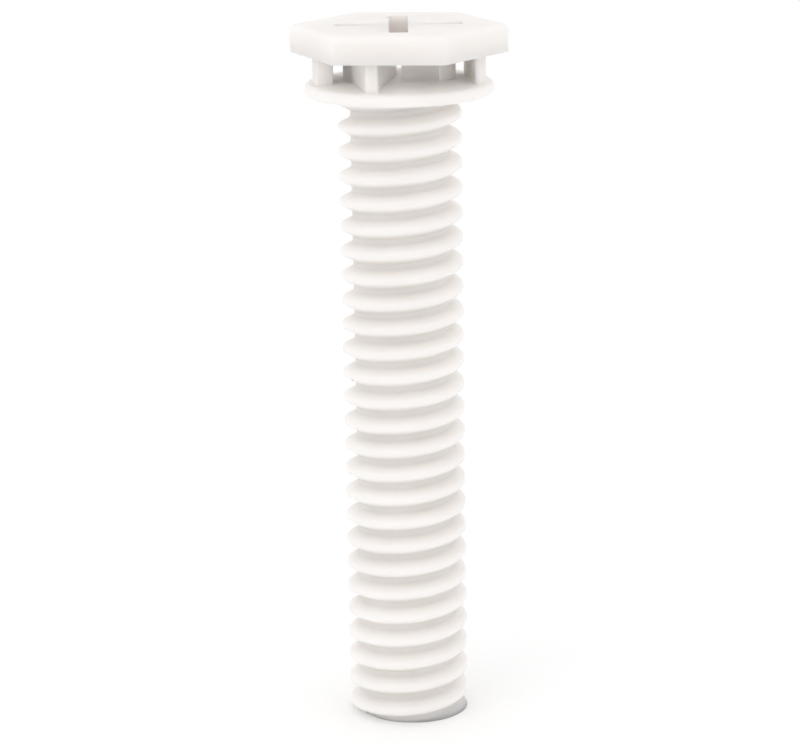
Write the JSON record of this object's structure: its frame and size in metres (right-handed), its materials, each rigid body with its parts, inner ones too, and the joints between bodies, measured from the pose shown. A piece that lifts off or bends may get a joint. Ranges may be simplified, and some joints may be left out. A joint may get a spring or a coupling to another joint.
{
  "type": "adjustable screw foot",
  "caption": "White plastic levelling foot with a hexagonal pad, an open ribbed neck, a round flange and a long coarse-threaded stem that screws up into an appliance base.",
  "frame": {"origin": "centre of the flat end of the threaded stem", "axes": "+Z along the stem from its end up to the hexagonal head, +X to a corner of the hexagon, -Y to a flat of the hexagon"},
  "size_m": [0.0344, 0.03, 0.1135],
  "materials": {
    "white_plastic": "satin moulded"
  },
  "bodies": {
    "root": {"screw_foot": "white_plastic"}
  },
  "joints": []
}
